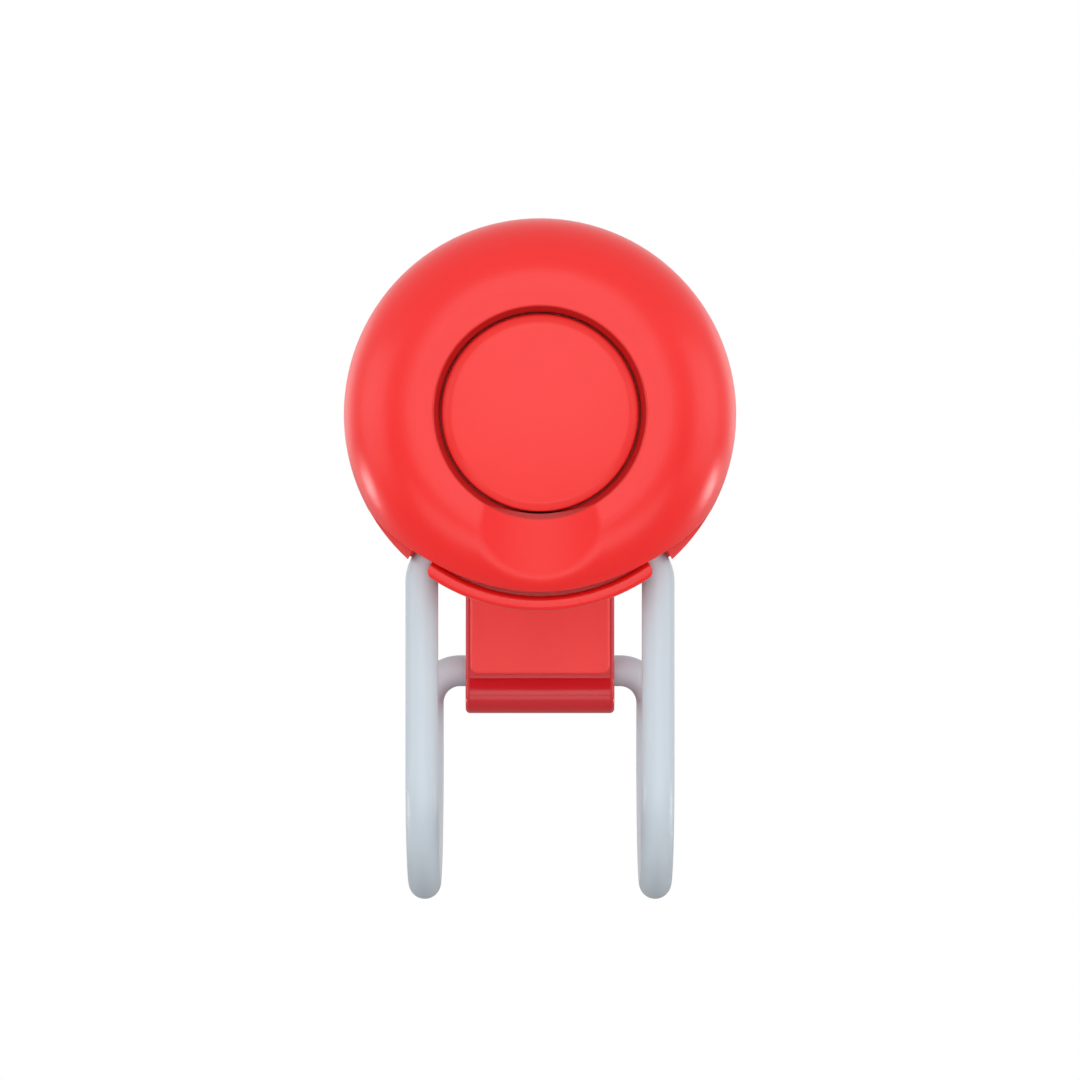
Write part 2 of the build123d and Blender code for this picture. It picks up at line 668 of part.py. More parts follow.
# Switch: a square body with a round bore, and the plunger that the button presses
with BuildPart() as tact_switch:
    with BuildSketch(front_plane.offset(-BOARD_SETBACK)):
        Rectangle(SWITCH_WIDTH, SWITCH_WIDTH)
    extrude(amount=SWITCH_HEIGHT)
    with BuildSketch(front_plane.offset(switch_top)):
        Circle(PLUNGER_DIAMETER / 2 + RUNNING_FIT)
    extrude(amount=-PLUNGER_SEAT - BUTTON_TRAVEL - LOOSE_FIT, mode=Mode.SUBTRACT)
tact_switch.part.label = "tact_switch"

with BuildPart() as switch_plunger:
    with BuildSketch(front_plane.offset(plunger_top)):
        Circle(PLUNGER_DIAMETER / 2)
    extrude(amount=switch_top - PLUNGER_SEAT - plunger_top)
switch_plunger.part.label = "switch_plunger"


# Controller chip: a square package on the front of the board
with BuildPart() as controller_chip:
    with BuildSketch(front_plane.offset(-BOARD_SETBACK)):
        with Locations((CHIP_SIDE, CHIP_RISE)):
            Rectangle(CHIP_WIDTH, CHIP_WIDTH)
    extrude(amount=CHIP_HEIGHT)
controller_chip.part.label = "controller_chip"


# Battery: a shallow cup on the back of the board, the coin cell in it and a spring clip across it
with BuildPart() as cell_holder:
    with BuildSketch(front_plane.offset(-board_back)):
        with Locations((0, CELL_RISE)):
            Circle(holder_radius)
    extrude(amount=-HOLDER_FLOOR - CELL_THICKNESS)
    with BuildSketch(front_plane.offset(-cell_front)):
        with Locations((0, CELL_RISE)):
            Circle(cell_radius + LOOSE_FIT)
    extrude(amount=-CELL_THICKNESS, mode=Mode.SUBTRACT)
cell_holder.part.label = "cell_holder"

with BuildPart() as coin_cell:
    with BuildSketch(front_plane.offset(-cell_front)):
        with Locations((0, CELL_RISE)):
            Circle(cell_radius)
    extrude(amount=-CELL_THICKNESS)
coin_cell.part.label = "coin_cell"

with BuildPart() as cell_clip:
    with BuildSketch(section_plane.offset(-CELL_RISE)):
        with Locations((0, -board_back)):
            Rectangle(
                2 * (holder_radius + CLIP_THICKNESS),
                HOLDER_FLOOR + CELL_THICKNESS + CLIP_THICKNESS,
                align=(Align.CENTER, Align.MAX),
            )
            Rectangle(
                2 * holder_radius,
                HOLDER_FLOOR + CELL_THICKNESS,
                align=(Align.CENTER, Align.MAX),
                mode=Mode.SUBTRACT,
            )
    extrude(amount=CLIP_WIDTH / 2, both=True)
cell_clip.part.label = "cell_clip"


# Speaker: a foam gasket on the back wall, then the basket, its cone and the magnet
with BuildPart() as speaker_gasket:
    with BuildSketch(speaker_plane.offset(-back_inside)):
        Circle(speaker_radius)
        Circle(speaker_radius - SPEAKER_RIM, mode=Mode.SUBTRACT)
    extrude(amount=GASKET_THICKNESS)
speaker_gasket.part.label = "speaker_gasket"

with BuildPart() as speaker_frame:
    with BuildSketch(speaker_plane.offset(-speaker_back)):
        Circle(speaker_radius)
    extrude(amount=SPEAKER_DEPTH)
    with BuildSketch(speaker_plane.offset(-speaker_back)):
        Circle(speaker_radius - SPEAKER_RIM)
    extrude(amount=SPEAKER_DEPTH - BASKET_THICKNESS, mode=Mode.SUBTRACT)
speaker_frame.part.label = "speaker_frame"

with BuildPart() as speaker_cone:
    with BuildSketch(speaker_section):
        Polygon(
            (0, cone_apex),
            (CONE_APEX_DIAMETER / 2, cone_apex),
            (speaker_radius - SPEAKER_RIM, cone_apex - CONE_DEPTH),
            (speaker_radius - SPEAKER_RIM, cone_apex - CONE_DEPTH - CONE_THICKNESS),
            (CONE_APEX_DIAMETER / 2, cone_apex - CONE_THICKNESS),
            (0, cone_apex - CONE_THICKNESS),
            align=None,
        )
    revolve(axis=speaker_axis)
speaker_cone.part.label = "speaker_cone"

with BuildPart() as speaker_magnet:
    with BuildSketch(speaker_plane.offset(SPEAKER_DEPTH - speaker_back)):
        Circle(MAGNET_DIAMETER / 2)
    extrude(amount=MAGNET_DEPTH)
speaker_magnet.part.label = "speaker_magnet"


def pan_head_screws(seat_plane, points, length):
    """A group of pan-head screws, with their heads on the seat plane and a cross drive."""
    with BuildPart() as screws:
        with BuildSketch(seat_plane):
            with Locations(*points):
                Circle(screw_radius)
        extrude(amount=-length)
        with BuildSketch(seat_plane):
            with Locations(*points):
                Circle(head_radius)
        extrude(amount=SCREW_HEAD_HEIGHT)
        with BuildSketch(seat_plane.offset(SCREW_HEAD_HEIGHT)):
            with Locations(*points):
                Rectangle(DRIVE_LENGTH, DRIVE_WIDTH)
                Rectangle(DRIVE_WIDTH, DRIVE_LENGTH)
        extrude(amount=-DRIVE_DEPTH, mode=Mode.SUBTRACT)
    return screws.part


def back_points(points):
    """The same points seen from behind, where left and right change places."""
    return [(-x, z) for x, z in points]


# Screws, all driven from behind
case_screws = pan_head_screws(
    back_plane.offset(CASE_SCREW_SEAT),
    back_points(case_screw_points),
    CASE_SCREW_SEAT - RIM_BAND + SCREW_BITE - LOOSE_FIT,
)
case_screws.label = "case_screws"
board_screws = pan_head_screws(
    back_plane.offset(board_back),
    back_points(board_post_points),
    BOARD_THICKNESS + SCREW_BITE - LOOSE_FIT,
)
board_screws.label = "board_screws"
keeper_screws = pan_head_screws(
    back_plane.offset(HINGE_BLOCK_DEPTH),
    back_points(keeper_screw_points),
    HINGE_BLOCK_DEPTH - HINGE_SETBACK + KEEPER_SCREW_BITE - LOOSE_FIT,
)
keeper_screws.label = "keeper_screws"

with BuildPart() as arm_screws:
    with BuildSketch(arm_plane):
        with Locations(*arm_screw_points):
            Circle(screw_radius)
    extrude(amount=LOOSE_FIT - ARM_THICKNESS - WALL - SCREW_BITE)
    with BuildSketch(arm_plane):
        with Locations(*arm_screw_points):
            Circle(head_radius)
    extrude(amount=-countersink_depth, taper=COUNTERSINK_ANGLE / 2)
    with BuildSketch(arm_plane):
        with Locations(*arm_screw_points):
            Rectangle(DRIVE_LENGTH, DRIVE_WIDTH)
            Rectangle(DRIVE_WIDTH, DRIVE_LENGTH)
    extrude(amount=-DRIVE_DEPTH, mode=Mode.SUBTRACT)
arm_screws.part.label = "arm_screws"


# Write each piece to its own file
os.makedirs("parts", exist_ok=True)
export_step(front_cover.part, "parts/front_cover.step")
export_step(push_button.part, "parts/push_button.step")
export_step(rear_cover.part, "parts/rear_cover.step")
export_step(bail_keeper.part, "parts/bail_keeper.step")
export_step(wire_bail.part, "parts/wire_bail.step")
export_step(hook_arm.part, "parts/hook_arm.step")
export_step(grip_pad.part, "parts/grip_pad.step")
export_step(button_spring.part, "parts/button_spring.step")
export_step(tact_switch.part, "parts/tact_switch.step")
export_step(switch_plunger.part, "parts/switch_plunger.step")
export_step(circuit_board.part, "parts/circuit_board.step")
export_step(controller_chip.part, "parts/controller_chip.step")
export_step(cell_holder.part, "parts/cell_holder.step")
export_step(coin_cell.part, "parts/coin_cell.step")
export_step(cell_clip.part, "parts/cell_clip.step")
export_step(speaker_gasket.part, "parts/speaker_gasket.step")
export_step(speaker_frame.part, "parts/speaker_frame.step")
export_step(speaker_cone.part, "parts/speaker_cone.step")
export_step(speaker_magnet.part, "parts/speaker_magnet.step")
export_step(case_screws, "parts/case_screws.step")
export_step(board_screws, "parts/board_screws.step")
export_step(keeper_screws, "parts/keeper_screws.step")
export_step(arm_screws.part, "parts/arm_screws.step")
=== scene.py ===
# %% [markdown]
# # A clip-on push-button metronome
# A round red plastic puck with a large button hangs on a hinged wire loop, and the loop closes on a hook
# behind the case. This lesson dresses the measured parts in their finishes and sets up a plain white
# studio.

import json
import math

import bpy
import numpy as np
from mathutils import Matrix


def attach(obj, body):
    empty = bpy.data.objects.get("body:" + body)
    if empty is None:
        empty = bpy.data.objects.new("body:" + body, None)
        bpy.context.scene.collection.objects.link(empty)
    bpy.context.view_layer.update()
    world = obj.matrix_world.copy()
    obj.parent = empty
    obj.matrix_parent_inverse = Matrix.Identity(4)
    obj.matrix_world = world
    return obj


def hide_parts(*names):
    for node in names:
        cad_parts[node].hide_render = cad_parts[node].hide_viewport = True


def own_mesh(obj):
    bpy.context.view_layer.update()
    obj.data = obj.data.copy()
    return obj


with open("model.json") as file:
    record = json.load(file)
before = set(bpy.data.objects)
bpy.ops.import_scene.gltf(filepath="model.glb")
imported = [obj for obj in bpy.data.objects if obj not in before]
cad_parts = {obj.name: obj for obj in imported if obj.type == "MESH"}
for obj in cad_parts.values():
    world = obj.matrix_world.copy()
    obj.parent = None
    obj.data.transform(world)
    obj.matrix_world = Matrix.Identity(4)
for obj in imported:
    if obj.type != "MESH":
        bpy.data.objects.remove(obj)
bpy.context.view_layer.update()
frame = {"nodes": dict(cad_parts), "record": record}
parts = frame["nodes"]
scene = bpy.context.scene
print("measured parts:", ", ".join(sorted(parts)))

# %% [markdown]
# A few sizes are shared by several steps. The button, its recess and the spring all stand on the puck's own
# axis, and their depths are counted forward from the rim where the two covers meet. They are written in
# millimetres.

# %% Shared sizes
MM = 0.001
AXIS_HEIGHT = 45.25
RIM_Y = -19.4
RECESS_RADIUS = 13.4
print("puck axis at", AXIS_HEIGHT, "mm, rim at", RIM_Y, "mm")

# %% [markdown]
# The photo is a straight-on product shot from a little over half a metre, so the lens is long and level.
# The picture's middle lies 16 mm below the middle of the puck.

# %% Camera
CAMERA_DISTANCE = 0.57
CAMERA_HEIGHT = 0.02927
LENS = 144.05

camera_data = bpy.data.cameras.new("product_camera")
camera_data.sensor_width = 36.0
camera_data.lens = LENS
camera = bpy.data.objects.new("product_camera", camera_data)
camera.location = (0.0, -CAMERA_DISTANCE, CAMERA_HEIGHT)
camera.rotation_euler = (math.radians(90), 0.0, 0.0)
scene.collection.objects.link(camera)
scene.camera = camera
print("camera", tuple(round(c, 4) for c in camera.location), "lens", LENS)

# %% [markdown]
# The surroundings are a tent of white paper: white to the lens and in every reflection. The light that they
# throw on the plastic is dimmer, and brighter in front and above, so that each curve darkens towards its
# back and underside.

# %% Surroundings
BRIGHT_SIDE = (0.0, -0.7, 0.7)
DIMMEST = 0.33
BRIGHTEST = 1.07

scene.view_settings.view_transform = "Standard"
world = bpy.data.worlds.new("white_studio")
scene.world = world
world.use_nodes = True
tent = world.node_tree
tent.nodes.clear()
room = tent.nodes.new("ShaderNodeBackground")
paper = tent.nodes.new("ShaderNodeBackground")
paper.inputs["Color"].default_value = (1, 1, 1, 1)
direction = tent.nodes.new("ShaderNodeTexCoord")
lean = tent.nodes.new("ShaderNodeVectorMath")
lean.operation = "DOT_PRODUCT"
lean.inputs[1].default_value = BRIGHT_SIDE
strength = tent.nodes.new("ShaderNodeMapRange")
strength.inputs["From Min"].default_value = -1.0
strength.inputs["From Max"].default_value = 1.0
strength.inputs["To Min"].default_value = DIMMEST
strength.inputs["To Max"].default_value = BRIGHTEST
tent.links.new(direction.outputs["Generated"], lean.inputs[0])
tent.links.new(lean.outputs["Value"], strength.inputs["Value"])
tent.links.new(strength.outputs["Result"], room.inputs["Strength"])
rays = tent.nodes.new("ShaderNodeLightPath")
looked_at = tent.nodes.new("ShaderNodeMath")
looked_at.operation = "MAXIMUM"
tent.links.new(rays.outputs["Is Camera Ray"], looked_at.inputs[0])
tent.links.new(rays.outputs["Is Transmission Ray"], looked_at.inputs[1])
mirrored = tent.nodes.new("ShaderNodeMath")
mirrored.operation = "MAXIMUM"
tent.links.new(looked_at.outputs["Value"], mirrored.inputs[0])
tent.links.new(rays.outputs["Is Glossy Ray"], mirrored.inputs[1])
choice = tent.nodes.new("ShaderNodeMixShader")
tent.links.new(mirrored.outputs["Value"], choice.inputs[0])
tent.links.new(room.outputs[0], choice.inputs[1])
tent.links.new(paper.outputs[0], choice.inputs[2])
tent_out = tent.nodes.new("ShaderNodeOutputWorld")
tent.links.new(choice.outputs[0], tent_out.inputs["Surface"])
print("surroundings: white to the lens, grey to white on the plastic")

# %% [markdown]
# Soft boxes stand round the puck as in a small product studio. A low pair behind makes the two round
# highlights on the lower shoulders, and panels at the sides and behind draw the pale rim. In front, a large
# fill lights the button, a level strip makes the line on the roll of the arm, and a low panel lifts the
# undersides.

# %% Lamps
MIDDLE = (0, -0.01, 0.03)
ARM_ROLL = (0, -0.01, 0.01)


def soft_light(name, place, aim, width, height, power):
    """A rectangular soft light at place, facing aim."""
    data = bpy.data.lights.new(name, "AREA")
    data.shape = "RECTANGLE"
    data.size = width
    data.size_y = height
    data.energy = power
    lamp = bpy.data.objects.new(name, data)
    lamp.location = place
    look = np.array(aim, float) - np.array(place, float)
    yaw = math.atan2(look[0], look[1])
    lamp.rotation_euler = (math.atan2(math.hypot(look[0], look[1]), -look[2]), 0.0, -yaw)
    lamp.visible_camera = False
    scene.collection.objects.link(lamp)
    print("lamp", name, "of", power, "W")


for side, sign in (("left", -1), ("right", 1)):
    soft_light(f"{side}_spot", (sign * 0.42, 0.16, -0.20), MIDDLE, 0.14, 0.2, 1.5)
    soft_light(f"{side}_panel", (sign * 0.56, -0.2, 0.05), MIDDLE, 0.45, 0.5, 0.8)
    soft_light(f"{side}_back", (sign * 0.45, 0.45, 0.05), MIDDLE, 0.3, 0.5, 0.3)
soft_light("front_fill", (0.0, -0.9, 0.30), MIDDLE, 0.6, 0.5, 1.25)
soft_light("level_strip", (0.0, -0.9, -0.01), ARM_ROLL, 0.5, 0.07, 0.30)
soft_light("low_panel", (0.0, -0.26, -0.10), MIDDLE, 0.4, 0.10, 0.19)

# %% [markdown]
# Moulded plastic and paint are never perfectly even: a faint cloudiness shifts the shade, and a very fine
# grain breaks up the shine. One noise makes each. The effect is a group, so that every plastic shares it at
# its own grain size.

# %% Shared effect: moulded grain


def new_group(name, inputs, outputs):
    """An empty shader group with number or vector sockets."""
    group = bpy.data.node_groups.new(name, "ShaderNodeTree")
    for label, kind in inputs:
        group.interface.new_socket(label, in_out="INPUT", socket_type=kind)
    for label, kind in outputs:
        group.interface.new_socket(label, in_out="OUTPUT", socket_type=kind)
    print("shared effect:", name)
    return group, group.nodes.new("NodeGroupInput"), group.nodes.new("NodeGroupOutput")


def spread(group, source, low, high):
    """Maps a value from 0 to 1 onto low to high."""
    node = group.nodes.new("ShaderNodeMapRange")
    node.inputs["To Min"].default_value = low
    node.inputs["To Max"].default_value = high
    group.links.new(source, node.inputs["Value"])
    return node.outputs["Result"]


EFFECT_VALUES = [
    ("Shade", "NodeSocketFloat"),
    ("Roughness Shift", "NodeSocketFloat"),
    ("Height", "NodeSocketFloat"),
]

moulded_grain, given, made = new_group(
    "moulded_grain", [("Place", "NodeSocketVector"), ("Grain Scale", "NodeSocketFloat")], EFFECT_VALUES
)
cloud = moulded_grain.nodes.new("ShaderNodeTexNoise")
cloud.inputs["Scale"].default_value = 120.0
cloud.inputs["Detail"].default_value = 2.0
grain = moulded_grain.nodes.new("ShaderNodeTexNoise")
grain.inputs["Detail"].default_value = 3.0
cloud_shade = spread(moulded_grain, cloud.outputs["Fac"], 0.97, 1.03)
grain_shift = spread(moulded_grain, grain.outputs["Fac"], -0.05, 0.05)
moulded_grain.links.new(given.outputs["Place"], cloud.inputs["Vector"])
moulded_grain.links.new(given.outputs["Place"], grain.inputs["Vector"])
moulded_grain.links.new(given.outputs["Grain Scale"], grain.inputs["Scale"])
moulded_grain.links.new(cloud_shade, made.inputs["Shade"])
moulded_grain.links.new(grain_shift, made.inputs["Roughness Shift"])
moulded_grain.links.new(grain.outputs["Fac"], made.inputs["Height"])

# %% [markdown]
# Rolled and turned steel has hair-thin lines. The same kind of noise gives them when the place is stretched
# first: the shade changes quickly along an axis with a large number, and the lines run along the others.

# %% Shared effect: brushed lines
brushed_lines, given, made = new_group(
    "brushed_lines", [("Place", "NodeSocketVector"), ("Stretch", "NodeSocketVector")], EFFECT_VALUES
)
stretch = brushed_lines.nodes.new("ShaderNodeVectorMath")
stretch.operation = "MULTIPLY"
lines = brushed_lines.nodes.new("ShaderNodeTexNoise")
lines.inputs["Scale"].default_value = 1.0
lines.inputs["Detail"].default_value = 4.0
line_shade = spread(brushed_lines, lines.outputs["Fac"], 0.9, 1.08)
line_shift = spread(brushed_lines, lines.outputs["Fac"], -0.08, 0.1)
brushed_lines.links.new(given.outputs["Place"], stretch.inputs[0])
brushed_lines.links.new(given.outputs["Stretch"], stretch.inputs[1])
brushed_lines.links.new(stretch.outputs["Vector"], lines.inputs["Vector"])
brushed_lines.links.new(line_shade, made.inputs["Shade"])
brushed_lines.links.new(line_shift, made.inputs["Roughness Shift"])
brushed_lines.links.new(lines.outputs["Fac"], made.inputs["Height"])

# %% [markdown]
# The wall of the recess round the button is darker than the face of the puck. That is painted shade: the
# colour is darkened where the recess lies in shadow. The shade follows the distance from the puck's axis,
# and only near the front.

# %% Shared effect: painted shade in the recess
RECESS_PAINTED_SHADE = 0.5
RECESS_SHADE_FADE = 0.2
RECESS_SHADE_DEPTH_Y = -25.5

well_grime, given, made = new_group(
    "well_grime", [("Place", "NodeSocketVector")], [("Shade", "NodeSocketFloat")]
)
from_axis = well_grime.nodes.new("ShaderNodeVectorMath")
from_axis.operation = "SUBTRACT"
from_axis.inputs[1].default_value = (0.0, 0.0, AXIS_HEIGHT * MM)
apart = well_grime.nodes.new("ShaderNodeSeparateXYZ")
across_axis = well_grime.nodes.new("ShaderNodeCombineXYZ")
distance = well_grime.nodes.new("ShaderNodeVectorMath")
distance.operation = "LENGTH"
outside = well_grime.nodes.new("ShaderNodeMapRange")
outside.interpolation_type = "SMOOTHSTEP"
outside.inputs["From Min"].default_value = (RECESS_RADIUS - RECESS_SHADE_FADE) * MM
outside.inputs["From Max"].default_value = (RECESS_RADIUS + RECESS_SHADE_FADE) * MM
behind = well_grime.nodes.new("ShaderNodeMath")
behind.operation = "GREATER_THAN"
behind.inputs[1].default_value = RECESS_SHADE_DEPTH_Y * MM
unshaded = well_grime.nodes.new("ShaderNodeMath")
unshaded.operation = "MAXIMUM"
well_grime.links.new(given.outputs["Place"], from_axis.inputs[0])
well_grime.links.new(from_axis.outputs["Vector"], apart.inputs[0])
well_grime.links.new(apart.outputs["X"], across_axis.inputs["X"])
well_grime.links.new(apart.outputs["Z"], across_axis.inputs["Z"])
well_grime.links.new(across_axis.outputs["Vector"], distance.inputs[0])
well_grime.links.new(distance.outputs["Value"], outside.inputs["Value"])
well_grime.links.new(apart.outputs["Y"], behind.inputs[0])
well_grime.links.new(outside.outputs["Result"], unshaded.inputs[0])
well_grime.links.new(behind.outputs["Value"], unshaded.inputs[1])
well_grime.links.new(spread(well_grime, unshaded.outputs["Value"], RECESS_PAINTED_SHADE, 1.0), made.inputs["Shade"])

# %% [markdown]
# Every finish is made in the same way: a colour whose shade follows one of the effects, a roughness that
# shifts with it and a very low relief. Two extras are asked for by name: painted shade in the recess, and
# painted shade that darkens the colour where the surface turns away from the eye.

# %% How a finish is made
COAT_ROUGHNESS = 0.22
RELIEF_DEPTH = 0.0001


def times(tree, first, second):
    """The product of two values in a material."""
    node = tree.nodes.new("ShaderNodeMath")
    node.operation = "MULTIPLY"
    tree.links.new(first, node.inputs[0])
    tree.links.new(second, node.inputs[1])
    return node.outputs["Value"]


def finish(
    name, colour, roughness, effect, effect_value,
    bump=0.02, metallic=0.0, coat=0.0, ior=1.46, well=False, flop=1.0,
):
    """A Principled finish whose shade, roughness and surface height follow one of the shared effects."""
    material = bpy.data.materials.new(name)
    material.use_nodes = True
    tree = material.node_tree
    surface = tree.nodes["Principled BSDF"]
    surface.inputs["Metallic"].default_value = metallic
    surface.inputs["Coat Weight"].default_value = coat
    surface.inputs["Coat Roughness"].default_value = COAT_ROUGHNESS
    surface.inputs["IOR"].default_value = ior
    place = tree.nodes.new("ShaderNodeTexCoord")
    group = tree.nodes.new("ShaderNodeGroup")
    group.node_tree = effect
    group.inputs[1].default_value = effect_value
    tree.links.new(place.outputs["Object"], group.inputs["Place"])
    shade = group.outputs["Shade"]
    # Painted shade: the colour inside the recess round the button is darkened.
    if well:
        recess_shade_node = tree.nodes.new("ShaderNodeGroup")
        recess_shade_node.node_tree = well_grime
        tree.links.new(place.outputs["Object"], recess_shade_node.inputs["Place"])
        shade = times(tree, shade, recess_shade_node.outputs["Shade"])
    # Painted shade: the colour darkens where the surface turns away from the eye.
    if flop < 1.0:
        facing = tree.nodes.new("ShaderNodeLayerWeight")
        shade = times(tree, shade, spread(tree, facing.outputs["Facing"], 1.0, flop))
    tint = tree.nodes.new("ShaderNodeVectorMath")
    tint.operation = "SCALE"
    tint.inputs[0].default_value = colour
    tree.links.new(shade, tint.inputs["Scale"])
    tree.links.new(tint.outputs["Vector"], surface.inputs["Base Color"])
    rough = tree.nodes.new("ShaderNodeMath")
    rough.inputs[0].default_value = roughness
    tree.links.new(group.outputs["Roughness Shift"], rough.inputs[1])
    tree.links.new(rough.outputs["Value"], surface.inputs["Roughness"])
    relief = tree.nodes.new("ShaderNodeBump")
    relief.inputs["Strength"].default_value = bump
    relief.inputs["Distance"].default_value = RELIEF_DEPTH
    tree.links.new(group.outputs["Height"], relief.inputs["Height"])
    tree.links.new(relief.outputs["Normal"], surface.inputs["Normal"])
    return material


# %% [markdown]
# The puck is one saturated red in a satin mould texture, and the button is the same resin. The arm is a
# darker, glossier resin, its pad is soft rubber, and the wire has a pale grey paint whose colour carries
# painted shade towards its edges.

# %% Finishes of the outside
FINE = 9000.0


def plastic(name, colour, roughness, grain_scale=FINE, **extras):
    """A plastic, paint, rubber or paper finish with the moulded grain."""
    return finish(name, colour, roughness, moulded_grain, grain_scale, **extras)


finishes = {
    # The shell's colour carries painted shade in the recess round the button.
    "red_shell": plastic("red_shell", (0.852, 0.0105, 0.009), 0.31, ior=1.5, well=True),
    "red_button": plastic("red_button", (0.865, 0.0205, 0.0175), 0.32),
    "dark_red_arm": plastic("dark_red_arm", (0.57, 0.013, 0.021), 0.25, bump=0.005, coat=0.15, ior=1.41),
    "red_pad": plastic("red_pad", (0.90, 0.054, 0.052), 0.6, bump=0.06),
    # The wire's colour carries painted shade that darkens it towards its edges.
    "grey_wire": plastic("grey_wire", (0.56, 0.63, 0.688), 0.36, flop=0.72),
}
print("outside finishes:", ", ".join(finishes))

# %% [markdown]
# Inside are the usual materials of a small battery device: a green board, black and white plastic, drawn
# and turned steel, a brass clip, and a paper cone on a foam ring. The brushed lines only roughly follow the
# way in which each piece was worked, which is enough at this size.

# %% Finishes of the inside
LINES_LEVEL = (800, 800, 9000)
LINES_UPRIGHT = (9000, 800, 800)
LINES_SIDEWAYS = (800, 9000, 9000)


def metal(name, colour, roughness, lines_way):
    """A bare metal finish with brushed lines."""
    return finish(name, colour, roughness, brushed_lines, lines_way, metallic=1.0)


inside_finishes = {
    "spring_steel": metal("spring_steel", (0.62, 0.62, 0.63), 0.3, LINES_LEVEL),
    "screw_steel": metal("screw_steel", (0.55, 0.55, 0.56), 0.32, LINES_UPRIGHT),
    "green_board": plastic("green_board", (0.015, 0.15, 0.05), 0.35, 3000.0),
    "black_plastic": plastic("black_plastic", (0.02, 0.02, 0.022), 0.5),
    "white_plastic": plastic("white_plastic", (0.75, 0.74, 0.70), 0.45),
    "cell_steel": metal("cell_steel", (0.66, 0.66, 0.65), 0.25, LINES_UPRIGHT),
    "clip_brass": metal("clip_brass", (0.72, 0.50, 0.20), 0.3, LINES_SIDEWAYS),
    "cone_paper": plastic("cone_paper", (0.05, 0.05, 0.05), 0.8, 4000.0, bump=0.2),
    "magnet_steel": metal("magnet_steel", (0.5, 0.5, 0.51), 0.35, LINES_UPRIGHT),
    "foam": plastic("foam", (0.04, 0.04, 0.042), 0.9, 2500.0, bump=0.5),
}
finishes.update(inside_finishes)
print("inside finishes:", ", ".join(inside_finishes))

# %% [markdown]
# The record of the measured parts says which finish each of them has, so the parts are dressed from that
# list.

# %% Finishes on the measured parts
slot_of = {row["node"]: row["material_slot"] for row in frame["record"]["subparts"]}
for name, part in parts.items():
    part.data.materials.clear()
    part.data.materials.append(finishes[slot_of[name]])
print("dressed", len(parts), "measured parts")

# %% [markdown]
# Three pieces are rebuilt as smooth surfaces. Each is a grid of points worked out by a formula, with a
# four-sided face between each set of neighbours, so that it stays round however close the lens comes.

# %% Surfaces on a grid


def surface(name, grid, wrap_rows, wrap_columns):
    """A mesh through a grid of points (rows, columns, 3): face (i, j) joins points i, i+1 and j, j+1."""
    rows, columns = grid.shape[:2]
    i, j = np.meshgrid(
        np.arange(rows if wrap_rows else rows - 1),
        np.arange(columns if wrap_columns else columns - 1),
        indexing="ij",
    )
    i_next, j_next = (i + 1) % rows, (j + 1) % columns
    corners = [i * columns + j, i_next * columns + j, i_next * columns + j_next, i * columns + j_next]
    faces = np.stack([c.ravel() for c in corners], axis=1)
    mesh = bpy.data.meshes.new(name)
    mesh.from_pydata(grid.reshape(-1, 3), [], faces)
    mesh.polygons.foreach_set("use_smooth", np.ones(len(faces), dtype=bool))
    mesh.update()
    piece = bpy.data.objects.new(name, mesh)
    scene.collection.objects.link(piece)
    print(name, "has", len(mesh.vertices), "points and", len(faces), "faces")
    return piece


def tube(path, across, beside, radius, sides):
    """A round tube: each point is path + radius * (cos(a) * across + sin(a) * beside)."""
    a = np.linspace(0, 2 * np.pi, sides, endpoint=False)[None, :, None]
    ring = np.cos(a) * across[:, None, :] + np.sin(a) * beside[:, None, :]
    return path[:, None, :] + np.asarray(radius).reshape(-1, 1, 1) * ring


def dress(piece, body, slot, *stands_for):
    """Gives a new piece its finish and its moving body, and hides the measured parts that it stands for."""
    piece.data.materials.append(finishes[slot])
    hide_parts(*stands_for)
    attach(piece, body)


x_axis, y_axis, z_axis = np.eye(3)

# %% [markdown]
# The loop is one steel wire, bent cold round formers: a straight run across the front, a tight corner, a
# long leg, a wide U-bend, a short leg and a tight corner into the rear run. Half of it is worked out and
# mirrored.

# %% Wire loop
WIRE_RADIUS = 2.1 * MM
LEG_X = 15.15 * MM
BEND_RADIUS = 15.9 * MM
CORNER_RADIUS = 4.3 * MM
FRONT_HEIGHT = 28.25 * MM
REAR_HEIGHT = 11.55 * MM
RUN_STEPS = 40
WIRE_SIDES = 48


